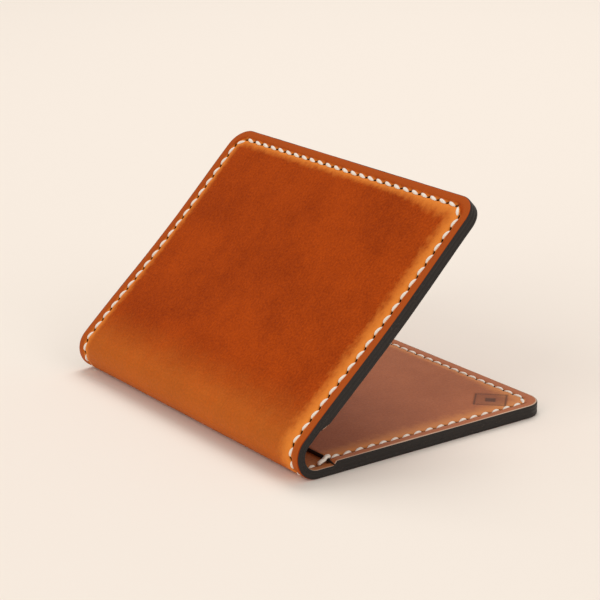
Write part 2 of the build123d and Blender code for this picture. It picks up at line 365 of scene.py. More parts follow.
def side_lines(step, fine=()):
    """Lines along the wallet, close together near both rims and in a fine window."""
    inner = HALF - RIM_INSETS[-1]
    lines = [inset - HALF for inset in RIM_INSETS[:-1]]
    lines += even_lines(-inner, inner, step) + [inner]
    lines += [HALF - inset for inset in reversed(RIM_INSETS[:-1])]
    return refined(lines, fine)


def cover_lines(start, step, fine=()):
    """Runs of the lines across a cover, from a start to close together near its open edge."""
    inner = LENGTH - RIM_INSETS[-1]
    lines = even_lines(start, inner, step)
    lines += [LENGTH - inset for inset in reversed(RIM_INSETS)]
    return refined(lines, fine)


def refined(lines, window):
    """The same lines, cut finer inside a window."""
    if not window:
        return lines
    low, high, step = window
    out = []
    for near, far in zip(lines, lines[1:]):
        out.append(near)
        if near >= low and far <= high:
            out += even_lines(near, far, step)[1:]
    return out + [lines[-1]]


def bend_lines(start, stop):
    """Lines across a stretch of the bend, very close together at its ends."""
    near_ends = (0.0, 0.004, 0.02, 0.06)
    inner = [0.12 + 0.76 * i / 8 for i in range(9)]
    shares = list(near_ends) + inner + [1 - share for share in reversed(near_ends)]
    return [start + (stop - start) * share for share in shares]


# --- Making meshes ----------------------------------------------------------------------------


def round_corner(x, y):
    """Move a place of a square-cornered sheet to its round-cornered shape."""
    over_x = run_of(x) - (LENGTH - CORNER)
    over_y = abs(y) - (HALF - CORNER)
    if over_x <= 0 or over_y <= 0:
        return x, y
    ring = max(over_x, over_y)
    if over_x >= over_y:
        angle = math.pi / 4 * over_y / over_x
    else:
        angle = math.pi / 2 - math.pi / 4 * over_x / over_y
    run = LENGTH - CORNER + ring * math.cos(angle)
    side = HALF - CORNER + ring * math.sin(angle)
    return flat_x(run, x >= BEND / 2), math.copysign(side, y)


def flat_sheet(x_lines, y_lines, near, far):
    """Closed flat sheet with a face at each of two depths, and its vertices of each face."""
    bm = bmesh.new()
    columns, rows = len(x_lines), len(y_lines)
    bmesh.ops.create_grid(bm, x_segments=columns - 1, y_segments=rows - 1, size=1)
    bm.verts.ensure_lookup_table()
    for index, vert in enumerate(bm.verts):
        x, y = round_corner(x_lines[index % columns], y_lines[index // columns])
        vert.co = (x, y, near)
    near_verts = bm.verts[:]
    made = bmesh.ops.extrude_face_region(bm, geom=bm.faces[:])["geom"]
    far_verts = [item for item in made if isinstance(item, bmesh.types.BMVert)]
    for vert in far_verts:
        vert.co.z = far
    return bm, near_verts, far_verts


def lay_marks(bm):
    """Write the flat places that the leather's patterns follow."""
    sheet = bm.loops.layers.uv.new("sheet")
    hole_map = bm.loops.layers.uv.new("hole")
    rim = bm.verts.layers.float.new("rim")
    seam = bm.verts.layers.float.new("seam")
    for vert in bm.verts:
        vert[rim] = rim_distance(vert.co.x, vert.co.y) / MM
        vert[seam] = seam_distance(vert.co.x, vert.co.y) / MM
    for face in bm.faces:
        middle = face.calc_center_median()
        hole, way = nearest_hole(middle.x, middle.y)
        for loop in face.loops:
            x, y, _ = loop.vert.co
            off = Vector((x, y)) - hole
            loop[sheet].uv = (x / MM, y / MM)
            loop[hole_map].uv = (off.dot(way) / MM, (way.x * off.y - way.y * off.x) / MM)


def finish_mesh(bm, name, material, bow, sharp=50):
    """Fold a flat mesh, turn its faces outwards, mark its sharp edges and make its object."""
    for vert in bm.verts:
        vert.co = bend_flat(vert.co, bow)
    # moving a vertex leaves its faces' normals as they were, and the next step starts from them
    bm.normal_update()
    bmesh.ops.recalc_face_normals(bm, faces=bm.faces[:])
    for face in bm.faces:
        face.smooth = True
    for edge in bm.edges:
        if len(edge.link_faces) == 2 and edge.calc_face_angle(0) > math.radians(sharp):
            edge.smooth = False
    mesh = bpy.data.meshes.new(name)
    bm.to_mesh(mesh)
    bm.free()
    mesh.materials.append(material)
    piece = bpy.data.objects.new(name, mesh)
    bpy.context.scene.collection.objects.link(piece)
    return piece


# The four lengths that a sheet round the fold is cut into, each with its name, its two ends and
# the two bodies on either side of it.
LENGTHS = (
    ("back", None, BORDERS[0], BODIES[0], BODIES[1]),
    ("fold_low", BORDERS[0], BORDERS[1], BODIES[1], BODIES[2]),
    ("fold_high", BORDERS[1], BORDERS[2], BODIES[2], BODIES[3]),
    ("front", BORDERS[2], None, BODIES[3], BODIES[4]),
)


def turn_between(piece, length, depth):
    """Bake a piece's transform into its mesh."""
    _, start, stop, body_a, body_b = length
    start = 0.0 if start is None else start
    stop = BEND if stop is None else stop
    ends = [bend_flat((x, 0, depth), 0) for x in (start, stop)]
    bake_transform(piece)


def length_lines(length, cover):
    """Flat lines across one of the four lengths, given the runs of a cover's lines."""
    _, start, stop, _, _ = length
    if start is None:
        return [-run for run in reversed(cover)] + bend_lines(0, stop)[1:]
    if stop is None:
        return bend_lines(start, BEND)[:-1] + [BEND + run for run in cover]
    return bend_lines(start, stop)


# --- Shader groups ----------------------------------------------------------------------------


class Nodes:
    """Short ways to place and link the nodes of one tree."""

    def __init__(self, tree):
        self.tree = tree

    def add(self, kind, settings=None, **inputs):
        """Place a node, set its properties and link or fill its inputs."""
        node = self.tree.nodes.new(kind)
        for key, value in (settings or {}).items():
            setattr(node, key, value)
        for key, value in inputs.items():
            self.fill(node.inputs[key.replace("_", " ")], value)
        return node

    def fill(self, socket, value):
        """Link a socket to an output, or give it a value."""
        if isinstance(value, bpy.types.NodeSocket):
            self.tree.links.new(value, socket)
        else:
            socket.default_value = value

    def math(self, operation, *values, clamp=False):
        """Math node of up to three values."""
        node = self.tree.nodes.new("ShaderNodeMath")
        node.operation, node.use_clamp = operation, clamp
        for socket, value in zip(node.inputs, values):
            self.fill(socket, value)
        return node.outputs[0]

    def range(self, value, low, high, to_low=0.0, to_high=1.0):
        """Value mapped smoothly from one range to another."""
        node = self.tree.nodes.new("ShaderNodeMapRange")
        node.interpolation_type = "SMOOTHSTEP"
        for socket, item in zip(node.inputs, (value, low, high, to_low, to_high)):
            self.fill(socket, item)
        return node.outputs[0]

    def mix(self, share, first, second, blend="MIX"):
        """Mix of two colours."""
        node = self.tree.nodes.new("ShaderNodeMix")
        node.data_type, node.blend_type = "RGBA", blend
        for index, item in ((0, share), (6, first), (7, second)):
            self.fill(node.inputs[index], item)
        return node.outputs[2]

    def noise(self, vector, scale, detail=2.0, roughness=0.5):
        """Noise value over a vector."""
        node = self.tree.nodes.new("ShaderNodeTexNoise")
        items = (("Vector", vector), ("Scale", scale), ("Detail", detail), ("Roughness", roughness))
        for key, item in items:
            self.fill(node.inputs[key], item)
        return node.outputs["Fac"]


def new_group(name, inputs, outputs):
    """Shader node group with named sockets, its nodes and its input and output nodes."""
    tree = bpy.data.node_groups.new(name, "ShaderNodeTree")
    for socket, kind, default in inputs:
        made = tree.interface.new_socket(socket, in_out="INPUT", socket_type=kind)
        made.default_value = default
    for socket, kind in outputs:
        tree.interface.new_socket(socket, in_out="OUTPUT", socket_type=kind)
    return Nodes(tree), tree.nodes.new("NodeGroupInput"), tree.nodes.new("NodeGroupOutput")


COLOUR, VALUE = "NodeSocketColor", "NodeSocketFloat"
SLIT_TURN = math.radians(20)
SLIT_HALF_LENGTH, SLIT_HALF_WIDTH = 0.6, 0.24  # in millimetres
# painted shade inside the awl slits and round them
SLIT_SHADE_COLOUR = (0.012, 0.005, 0.003, 1)
PRESSED_COLOUR = (0.06, 0.018, 0.008, 1)


def leather_group():
    """Mottled, burnished leather with pulled seams, awl slits painted dark as the shade inside them,
    grain and creases at the fold.
    """
    name = "Stitched Leather"
    if name in bpy.data.node_groups:
        return bpy.data.node_groups[name]
    black = (0, 0, 0, 1)
    inputs = [(key, COLOUR, black) for key in ("Field", "Shade", "Pulled", "Rim", "Cut")]
    inputs += [("Crease", VALUE, 1.0), ("Cut Width", VALUE, 0.3), ("Fold Light", VALUE, 1.0)]
    outputs = [("Colour", COLOUR), ("Roughness", VALUE), ("Height", VALUE)]
    nodes, given, out = new_group(name, inputs, outputs)

    sheet = nodes.add("ShaderNodeUVMap", {"uv_map": "sheet"}).outputs[0]
    hole = nodes.add("ShaderNodeUVMap", {"uv_map": "hole"}).outputs[0]
    rim = nodes.add("ShaderNodeAttribute", {"attribute_name": "rim"}).outputs["Fac"]
    seam = nodes.add("ShaderNodeAttribute", {"attribute_name": "seam"}).outputs["Fac"]
    along, beside, _ = nodes.add("ShaderNodeSeparateXYZ", Vector=sheet).outputs

    # slow clouds and fine mottling of the dye
    clouds = nodes.noise(sheet, 0.045, 3.0, 0.55)
    mottle = nodes.noise(sheet, 0.28, 4.0, 0.6)
    fine = nodes.noise(sheet, 1.6, 3.0, 0.7)
    cloudy = nodes.range(clouds, 0.3, 0.7)
    dye = nodes.math("ADD", nodes.math("MULTIPLY", cloudy, 0.42), nodes.math("MULTIPLY", mottle, 0.6))
    speckle = nodes.math("MULTIPLY", nodes.math("SUBTRACT", fine, 0.5), 2.4)
    dye = nodes.math("ADD", dye, speckle, clamp=True)
    tone = nodes.mix(dye, given.outputs["Shade"], given.outputs["Field"])

    # the fold is worn lighter
    middle = nodes.math("SUBTRACT", along, BEND / MM / 2)
    off_fold = nodes.math("ABSOLUTE", nodes.math("SUBTRACT", middle, -1.0))
    uneven = nodes.math("MULTIPLY", nodes.math("SUBTRACT", mottle, 0.5), 9.0)
    worn = nodes.range(nodes.math("ADD", off_fold, uneven), 21.0, 3.0)
    worn = nodes.math("MULTIPLY", nodes.math("MULTIPLY", worn, given.outputs["Fold Light"]), 0.34)
    tone = nodes.mix(worn, tone, given.outputs["Pulled"])

    # leather drawn tight beside the stitches shows lighter, more on its inner side
    inside = nodes.math("GREATER_THAN", rim, MARGIN / MM)
    near = nodes.range(beside, -24.0, -44.0, 1.9, 4.6)
    reach = nodes.math("ADD", nodes.math("MULTIPLY", inside, near), 0.9)
    patches = nodes.noise(sheet, 0.5, 3.0, 0.6)
    wander = nodes.math("ADD", nodes.math("MULTIPLY", patches, 1.3), 0.4)
    pulled = nodes.range(nodes.math("DIVIDE", seam, nodes.math("MULTIPLY", reach, wander)), 1.0, 0.0)
    outside = nodes.range(rim, 2.9, 1.6)
    tone = nodes.mix(nodes.math("MULTIPLY", outside, 0.85), tone, given.outputs["Rim"])
    tone = nodes.mix(nodes.math("MULTIPLY", pulled, 0.9), tone, given.outputs["Pulled"])

    # the rubbed edge
    cut_width = given.outputs["Cut Width"]
    edge = nodes.range(rim, cut_width, nodes.math("MULTIPLY", cut_width, 0.55))
    tone = nodes.mix(edge, tone, given.outputs["Cut"])

    # a mark pressed into the face is darker
    pressed = nodes.add("ShaderNodeAttribute", {"attribute_name": "stamp"}).outputs["Fac"]
    tone = nodes.mix(nodes.math("MULTIPLY", pressed, 0.85), tone, PRESSED_COLOUR)

    # slits at the stitch holes, each turned a little off the way of the seam, painted dark as the
    # shade inside each hole, with a fainter painted shade round it
    turned = nodes.add(
        "ShaderNodeVectorRotate", {"rotation_type": "Z_AXIS"}, Vector=hole, Angle=-SLIT_TURN
    )
    parts = nodes.add("ShaderNodeSeparateXYZ", Vector=turned.outputs[0]).outputs
    long_way = nodes.math("DIVIDE", parts[0], SLIT_HALF_LENGTH)
    short_way = nodes.math("DIVIDE", parts[1], SLIT_HALF_WIDTH)
    squares = [nodes.math("MULTIPLY", part, part) for part in (long_way, short_way)]
    squared = nodes.math("ADD", *squares)
    slit = nodes.range(squared, 1.5, 0.6)
    hole_shade_ring = nodes.range(squared, 7.0, 0.8, 0.0, 0.3)
    painted_hole_shade = nodes.math("MAXIMUM", slit, hole_shade_ring)
    tone = nodes.mix(painted_hole_shade, tone, SLIT_SHADE_COLOUR)

    # fine grain, and creases that run across the fold's bend
    cells = nodes.add(
        "ShaderNodeTexVoronoi", {"feature": "DISTANCE_TO_EDGE"}, Vector=sheet, Scale=2.3
    )
    grain = nodes.range(cells.outputs[0], 0.0, 0.16)
    squashed = nodes.add("ShaderNodeMapping", Vector=sheet)
    squashed.inputs["Scale"].default_value = (1.0, 0.22, 1.0)
    wrinkle = nodes.noise(squashed.outputs[0], 1.25, 3.0, 0.6)
    creased = nodes.math("MULTIPLY", nodes.range(off_fold, 22.0, 4.0), given.outputs["Crease"])
    height = nodes.math("ADD", nodes.math("MULTIPLY", grain, 0.25), nodes.math("MULTIPLY", fine, 0.9))
    height = nodes.math("ADD", height, nodes.math("MULTIPLY", mottle, 1.2))
    creases = nodes.math("MULTIPLY", nodes.math("MULTIPLY", wrinkle, creased), 6.0)
    height = nodes.math("ADD", height, creases)
    height = nodes.math("SUBTRACT", height, nodes.math("MULTIPLY", slit, 4.0))

    shine = nodes.math("ADD", 0.4, nodes.math("MULTIPLY", fine, 0.2))
    shine = nodes.math("ADD", shine, nodes.math("MULTIPLY", painted_hole_shade, 0.4))
    for socket, value in (("Colour", tone), ("Roughness", shine), ("Height", height)):
        nodes.fill(out.inputs[socket], value)
    return nodes.tree


def new_material(name):
    """Material with an empty tree but for its surface shader and output."""
    material = bpy.data.materials.new(name)
    material.use_nodes = True
    nodes = Nodes(material.node_tree)
    shader = material.node_tree.nodes["Principled BSDF"]
    return material, nodes, shader


def make_leather(name, colours, crease, cut_width, fold_light, gloss):
    """Leather material from the shared group."""
    if name in bpy.data.materials:
        return bpy.data.materials[name]
    material, nodes, shader = new_material(name)
    group = nodes.tree.nodes.new("ShaderNodeGroup")
    group.node_tree = leather_group()
    for socket, value in zip(("Field", "Shade", "Pulled", "Rim", "Cut"), colours):
        group.inputs[socket].default_value = (*value, 1)
    group.inputs["Crease"].default_value = crease
    group.inputs["Cut Width"].default_value = cut_width
    group.inputs["Fold Light"].default_value = fold_light
    height = nodes.add(
        "ShaderNodeBump", Height=group.outputs["Height"], Strength=0.7, Distance=0.06 * MM
    )
    nodes.fill(shader.inputs["Base Color"], group.outputs["Colour"])
    nodes.fill(shader.inputs["Roughness"], group.outputs["Roughness"])
    nodes.fill(shader.inputs["Normal"], height.outputs[0])
    shader.inputs["Specular IOR Level"].default_value = gloss
    return material


def make_paint(colour_value):
    """Black edge paint, burnished, with faint scuffs."""
    name = "Edge Paint"
    if name in bpy.data.materials:
        return bpy.data.materials[name]
    material, nodes, shader = new_material(name)
    place = nodes.add("ShaderNodeTexCoord").outputs["Object"]
    specks = nodes.noise(place, 2600.0, 3.0, 0.7)
    streaks = nodes.noise(place, 420.0, 4.0, 0.65)
    worn = nodes.range(nodes.math("ADD", specks, nodes.math("MULTIPLY", streaks, 0.6)), 0.86, 1.12)
    tone = nodes.mix(nodes.math("MULTIPLY", worn, 0.6), (*colour_value, 1), (0.07, 0.055, 0.046, 1))
    nodes.fill(shader.inputs["Base Color"], tone)
    nodes.fill(shader.inputs["Roughness"], nodes.range(streaks, 0.3, 0.7, 0.42, 0.62))
    rough = nodes.math("ADD", specks, streaks)
    height = nodes.add("ShaderNodeBump", Height=rough, Strength=0.5, Distance=0.06 * MM)
    nodes.fill(shader.inputs["Normal"], height.outputs[0])
    shader.inputs["Specular IOR Level"].default_value = 0.25
    return material


def make_thread_material(colour_value):
    """Waxed ivory thread with the twist of its plies."""
    name = "Waxed Thread"
    if name in bpy.data.materials:
        return bpy.data.materials[name]
    material, nodes, shader = new_material(name)
    ply = nodes.add("ShaderNodeUVMap", {"uv_map": "ply"}).outputs[0]
    twist = nodes.add(
        "ShaderNodeTexWave", {"bands_direction": "DIAGONAL"}, Vector=ply, Scale=0.9, Distortion=1.2
    )
    place = nodes.add("ShaderNodeTexCoord").outputs["Object"]
    fuzz = nodes.noise(place, 3200.0, 2.0, 0.6)
    # the grooves between the plies are painted darker tan, as shade
    lit = nodes.range(twist.outputs["Fac"], 0.1, 0.75)
    tone = nodes.mix(lit, (0.78, 0.68, 0.55, 1), (*colour_value, 1))
    nodes.fill(shader.inputs["Base Color"], tone)
    nodes.fill(shader.inputs["Roughness"], nodes.range(fuzz, 0.2, 0.8, 0.45, 0.7))
    height = nodes.math("ADD", twist.outputs["Fac"], nodes.math("MULTIPLY", fuzz, 0.35))
    bumped = nodes.add("ShaderNodeBump", Height=height, Strength=0.5, Distance=0.05 * MM)
    nodes.fill(shader.inputs["Normal"], bumped.outputs[0])
    shader.inputs["Sheen Weight"].default_value = 0.2
    return material


def make_paper(colour_value):
    """Pale matt paper."""
    material, nodes, shader = new_material("Pale Paper")
    place = nodes.add("ShaderNodeTexCoord").outputs["Object"]
    clouds = nodes.noise(place, 3.0, 2.0, 0.5)
    tone = nodes.mix(nodes.math("MULTIPLY", clouds, 0.1), (*colour_value, 1), (0.8, 0.72, 0.64, 1))
    nodes.fill(shader.inputs["Base Color"], tone)
    shader.inputs["Roughness"].default_value = 0.9
    shader.inputs["Specular IOR Level"].default_value = 0.1
    return material


# --- Pieces -----------------------------------------------------------------------------------


def face_relief(verts, sign, sizes, extra=None):
    """Draw in one face of a flat sheet by the leather's relief, into the sheet."""
    for vert in verts:
        x, y, _ = vert.co
        depth = relief(x, y, sizes)
        if extra:
            depth += extra(x, y)
        vert.co.z += sign * depth


class WALLET_OT_exterior(Operator):
    """Build the exterior leather: both covers and the fold, from open edge to open edge"""

    bl_idname = "wallet.exterior"
    bl_label = "Exterior leather"

    def execute(self, context):
        sizes, colours = context.scene.wallet_sizes, context.scene.wallet_colours
        tones = (colours.field, colours.shade, colours.pulled, colours.rim, colours.shade)
        leather = make_leather("Exterior Leather", tones, 1.0, 0.35, 1.0, 0.04)
        cover = cover_lines(0, PITCH / 8)
        y_lines = side_lines(PITCH / 8)
        nodes = (
            ("exterior_back",),
            ("spine_exterior_1",),
            ("spine_exterior_2",),
            ("exterior_front", "spine_exterior_3"),
        )
        for length, replaced in zip(LENGTHS, nodes):
            x_lines = length_lines(length, cover)
            bm, outer, _ = flat_sheet(x_lines, y_lines, 0, OUTER)
            face_relief(outer, 1, sizes)
            lay_marks(bm)
            piece = finish_mesh(bm, f"exterior_leather_{length[0]}", leather, sizes.bow)
            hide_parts(*replaced)
            turn_between(piece, length, OUTER / 2)
        return {"FINISHED"}


class WALLET_OT_lining(Operator):
    """Build the lining, which shows between the pockets' mouths"""

    bl_idname = "wallet.lining"
    bl_label = "Lining leather"

    def execute(self, context):
        sizes, colours = context.scene.wallet_sizes, context.scene.wallet_colours
        tones = (colours.lining, colours.pocket_shade, colours.lining, colours.lining, colours.cut)
        leather = make_leather("Lining Leather", tones, 0.6, 0.6, 0.0, 0.04)
        shown = 6.0 * MM
        cover = even_lines(0, shown, PITCH / 8) + cover_lines(shown, PITCH)
        y_lines = side_lines(PITCH / 4)
        nodes = (
            ("lining_back",),
            ("spine_lining_1",),
            ("spine_lining_2",),
            ("lining_front", "spine_lining_3"),
        )
        for length, replaced in zip(LENGTHS, nodes):
            bm, _, inner = flat_sheet(length_lines(length, cover), y_lines, OUTER, LINED)
            face_relief([vert for vert in inner if run_of(vert.co.x) < shown], -1, sizes)
            lay_marks(bm)
            piece = finish_mesh(bm, f"lining_leather_{length[0]}", leather, sizes.bow)
            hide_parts(*replaced)
            turn_between(piece, length, (OUTER + LINED) / 2)
        return {"FINISHED"}


class WALLET_OT_pockets(Operator):
    """Build the two pocket panels, the back one with its plain pressed diamond"""

    bl_idname = "wallet.pockets"
    bl_label = "Pocket panels"

    def execute(self, context):
        sizes, colours = context.scene.wallet_sizes, context.scene.wallet_colours
        plain, shade, pulled = colours.pocket, colours.pocket_shade, colours.pocket_pulled
        tones = (plain, shade, pulled, plain, colours.cut)
        leather = make_leather("Pocket Leather", tones, 0.2, 0.6, 0.0, 0.18)
        step = PITCH / 8
        for front, side in enumerate(("back", "front")):
            run_window = (LENGTH - 17 * MM, LENGTH - 4.3 * MM, 0.3 * MM)
            y_window = (-HALF + 3.4 * MM, -HALF + 16.2 * MM, 0.3 * MM)
            stamped = side == "back"
            start = MOUTH + PAINT / 2
            near_mouth = [start + inset * MM for inset in (0, 0.1, 0.22, 0.4, 0.65)]
            runs = near_mouth + cover_lines(start + 1.0 * MM, step, run_window if stamped else ())
            x_lines = [flat_x(run, front) for run in runs]
            y_lines = side_lines(step, y_window if stamped else ())
            bm, outer, inner = flat_sheet(x_lines, y_lines, LINED, FULL)

            def extra(x, y):
                inset = run_of(x) - start
                lip = 0.0
                if inset < sizes.roll:
                    lip = sizes.roll - math.sqrt(max(sizes.roll**2 - (sizes.roll - inset) ** 2, 0))
                thinned = (FULL - edge_thickness(x)) * thinning(rim_distance(x, y))
                return lip + thinned + (stamp_depth(x, y, sizes) if stamped else 0.0)

            face_relief(inner, -1, sizes, extra)
            for vert in outer + inner:
                vert.co.z += gape_at(vert.co.x, vert.co.y)
            lay_marks(bm)
            if stamped:
                pressed = bm.verts.layers.float.new("stamp")
                for vert in bm.verts:
                    vert[pressed] = stamp_depth(vert.co.x, vert.co.y, sizes) / sizes.stamp
            piece = finish_mesh(bm, f"pocket_leather_{side}", leather, sizes.bow)
            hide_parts(f"pocket_{side}")
            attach(piece, f"{side}_cover")
        return {"FINISHED"}


# Section of the painted edge of a full cover: depth, and how far the paint lies inside the outline.
EDGE_SECTION = (
    (0.10, 0.16), (0.16, 0.09), (0.27, 0.035), (0.45, 0.0), (1.1, 0.0), (1.18, 0.045), (1.26, 0.0),
    (1.75, -0.01), (2.2, 0.0), (2.28, 0.045), (2.36, 0.0), (2.95, 0.0), (3.13, 0.035), (3.24, 0.09),
    (3.30, 0.16), (2.9, 0.5), (0.5, 0.5),
)
# Section of the painted edge along a pocket's mouth, in the same way.
MOUTH_SECTION = (
    (0.05, 0.3), (0.02, 0.1), (0.12, 0.02), (0.35, 0.0), (0.75, 0.0), (0.95, 0.05), (1.02, 0.16),
    (0.9, 0.5), (0.3, 0.5),
)
FRONT_RAMP, BACK_RAMP = 2.6 * MM, 0.8 * MM  # runs over which an edge thins at a pocket's mouth
SECTION_OUTER_END = 1.26  # the exterior's share of the section, which keeps its depth


def section_depth(depth, thickness):
    """Depth in the section, squeezed to a part that is thinner than a full cover."""
    if depth <= SECTION_OUTER_END:
        return depth * MM
    squeeze = (thickness / MM - SECTION_OUTER_END) / (FULL / MM - SECTION_OUTER_END)
    return (SECTION_OUTER_END + (depth - SECTION_OUTER_END) * squeeze) * MM


def thinning(rim):
    """Share of a pocket's thickness that is lost at its mouth, by distance from the rim."""
    return 0.8 * bump(rim, 2.2 * MM)


def edge_thickness(x):
    """Thickness of the painted edge: full on a cover, thinner between the pockets' mouths."""
    ramp = FRONT_RAMP if x >= BEND / 2 else BACK_RAMP
    share = min(max((run_of(x) - MOUTH) / ramp, 0), 1)
    return LINED + (FULL - LINED) * share


def edge_path(length, cover):
    """Places round the outline of one of the four lengths, with the outline's outward way."""
    _, start, stop, _, _ = length
    lines = length_lines(length, cover)
    sides = [[(x, -1) for x in lines], [(x, 1) for x in lines]]
    if start is not None and stop is not None:
        return [[(Vector((x, side * HALF)), Vector((0, side))) for x, side in row] for row in sides]
    front = stop is None
    straight = [x for x in lines if run_of(x) < LENGTH - CORNER]
    if front:
        straight.reverse()
    # the straight runs from the open edge towards the fold
    away = 1.0 if front else -1.0
    path = []
    for x in reversed(straight):
        path.append((Vector((x, -HALF)), Vector((0, -1))))
    steps = 18
    for corner_side in (-1, 1):
        centre = Vector((flat_x(LENGTH - CORNER, front), corner_side * (HALF - CORNER)))
        for i in range(steps + 1):
            share = i / steps if corner_side < 0 else 1 - i / steps
            angle = math.pi / 2 * (1 - share)
            way = Vector((away * math.cos(angle), corner_side * math.sin(angle)))
            path.append((centre + way * CORNER, way))
        if corner_side < 0:
            inner = HALF - CORNER
            edge_x = flat_x(LENGTH, front)
            for y in even_lines(-inner, inner, 0.9 * MM)[1:]:
                path.append((Vector((edge_x, y)), Vector((away, 0))))
    for x in straight:
        path.append((Vector((x, HALF)), Vector((0, 1))))
    return [path]


def sweep_section(bm, path, section, lump):
    """Closed tube of a section along a path of places and outward ways."""
    columns, rows = len(path), len(section) + 1
    made = bmesh.ops.create_grid(bm, x_segments=columns - 1, y_segments=rows - 1, size=1)["verts"]
    made = sorted(made, key=lambda vert: (round(vert.co.y, 6), round(vert.co.x, 6)))
    for index, vert in enumerate(made):
        place, way = path[index % columns]
        depth, inset = section[(index // columns) % len(section)]
        uneven = lump * noise.noise(Vector((place.x * 330, place.y * 330, depth * 0.6)))
        spot = place - way * (inset * MM + uneven + lump)
        vert.co = (spot.x, spot.y, section_depth(depth, edge_thickness(place.x)))
    first, last = made[:columns], made[-columns:]
    targets = dict(zip(last, first))
    bmesh.ops.weld_verts(bm, targetmap=targets)
    ends = [edge for edge in bm.edges if edge.is_boundary]
    bmesh.ops.holes_fill(bm, edges=ends, sides=0)


class WALLET_OT_edges(Operator):
    """Build the black painted edges of the covers and the fold, and of both pockets' mouths, where the
    black is partly painted shade of the gaping mouth
    """

    bl_idname = "wallet.edges"
    bl_label = "Painted edges"

    def execute(self, context):
        sizes, colours = context.scene.wallet_sizes, context.scene.wallet_colours
        paint = make_paint(colours.paint)
        cover = even_lines(0, MOUTH, 0.6 * MM)
        cover += even_lines(MOUTH, MOUTH + 2.7 * MM, 0.2 * MM)
        cover += cover_lines(MOUTH + 2.7 * MM, 0.8 * MM)
        nodes = (
            ("edge_paint_back",),
            ("spine_edge_paint_1",),
            ("spine_edge_paint_2",),
            ("edge_paint_front", "spine_edge_paint_3"),
        )
        for length, replaced in zip(LENGTHS, nodes):
            bm = bmesh.new()
            for path in edge_path(length, cover):
                sweep_section(bm, path, EDGE_SECTION, 0.03 * MM)
            piece = finish_mesh(bm, f"painted_edge_{length[0]}", paint, sizes.bow, 75)
            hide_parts(*replaced)
            turn_between(piece, length, LINED / 2)
        for front, side in enumerate(("back", "front")):
            self.mouth(sizes, paint, front, side)
        return {"FINISHED"}

    def mouth(self, sizes, paint, front, side):
        """Edge along a pocket's mouth, painted black, partly as edge paint and partly as the shade
        inside the gaping mouth.
        """
        bm = bmesh.new()
        side_places = side_lines(PITCH / 4)
        columns, rows = len(side_places), len(MOUTH_SECTION) + 1
        bmesh.ops.create_grid(bm, x_segments=columns - 1, y_segments=rows - 1, size=1)
        bm.verts.ensure_lookup_table()
        made = bm.verts[:]
        for index, vert in enumerate(made):
            y = side_places[index % columns]
            depth, inset = MOUTH_SECTION[(index // columns) % len(MOUTH_SECTION)]
            x = flat_x(MOUTH + inset * MM, front)
            thinned = 1 - thinning(HALF - abs(y))
            vert.co = (x, y, LINED + depth * MM * thinned + gape_at(x, y))
        bmesh.ops.weld_verts(bm, targetmap=dict(zip(made[-columns:], made[:columns])))
        ends = [edge for edge in bm.edges if edge.is_boundary]
        bmesh.ops.holes_fill(bm, edges=ends, sides=0)
        # black along the mouth is partly edge paint and partly painted shade of the gap under it
        piece = finish_mesh(bm, f"mouth_paint_and_shade_{side}", paint, sizes.bow, 75)
        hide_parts(f"edge_paint_{side}")
        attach(piece, f"{side}_cover")


def add_stitch(bm, ends, face, outwards, sizes, slant):
    """Plump stitch on a face of the leather, its two ends drawn down into their holes."""
    ply = bm.loops.layers.uv.verify()
    head, tail = ends
    middle = (head + tail) / 2
    along = (tail - head) / 2 * sizes.stitch_length
    across = Vector((-along.y, along.x)).normalized()
    along = along - across * slant
    half_width, half_height = sizes.stitch_width / 2, 0.3 * MM
    made = bmesh.ops.create_uvsphere(bm, u_segments=8, v_segments=8, radius=1)["verts"]
    jitter = noise.noise(Vector((middle.x * 900, middle.y * 900, face * 500)))
    lift = 0.04 * MM * (1 + jitter)
    spots = {}
    for vert in made:
        beside, up, share = vert.co
        plump = 1 + 0.12 * (1 - share * share)
        skew = -0.4 * beside * half_width
        spot = middle + along * share + across * beside * half_width * plump
        spot = spot + along.normalized() * skew
        dive = 0.42 * MM * abs(share) ** 3
        spots[vert] = (share * 4, math.atan2(up, beside) * 1.4)
        height = face + outwards * (lift + up * half_height - dive)
        # the back cover's outer stitches are pressed level where the wallet stands on them
        vert.co = (spot.x, spot.y, max(height, 0) if middle.x <= 0 else height)
    for face_made in {item for vert in made for item in vert.link_faces}:
        for loop in face_made.loops:
            loop[ply].uv = spots[loop.vert]


def add_wrap(bm, side, front, sizes):
    """Stitch over a pocket's mouth, from the pocket's first hole down to the lining."""
    ply = bm.loops.layers.uv.verify()
    top, low = 1.5 * PITCH, 0.5 * PITCH
    made = bmesh.ops.create_uvsphere(bm, u_segments=8, v_segments=18, radius=1)["verts"]
    radius = sizes.stitch_width * 0.68
    route = (
        (top + 0.2 * MM, FULL - 0.35 * MM),
        (top - 0.1 * MM, FULL + 0.2 * MM),
        (MOUTH + 0.1 * MM, FULL + 0.34 * MM),
        (MOUTH - 0.5 * MM, FULL + 0.1 * MM),
        (MOUTH - 0.95 * MM, LINED + 0.7 * MM),
        (low + 1.0 * MM, LINED + 0.4 * MM),
        (low + 0.55 * MM, LINED + 0.1 * MM),
        (low + 0.3 * MM, LINED - 0.35 * MM),
    )
    points = [Vector(item) for item in route]
    spots = {}
    for vert in made:
        beside, up, share = vert.co
        place = (share + 1) / 2 * (len(points) - 1)
        index = min(int(place), len(points) - 2)
        near, far = points[index], points[index + 1]
        centre = near.lerp(far, place - index)
        way = (points[min(index + 2, len(points) - 1)] - points[max(index - 1, 0)]).normalized()
        spots[vert] = (share * 6, math.atan2(up, beside) * 1.4)
        thick = min(math.hypot(beside, up), 1)
        swell = min(1.0, 1.35 * thick) / thick if thick > 0.02 else 1.0
        run = centre.x + way.y * up * radius * swell * 0.8
        depth = centre.y - way.x * up * radius * swell * 0.8
        vert.co = (flat_x(run, front), side * LINE_Y + beside * radius * swell * 1.1, depth)
    for face_made in {item for vert in made for item in vert.link_faces}:
        for loop in face_made.loops:
            loop[ply].uv = spots[loop.vert]


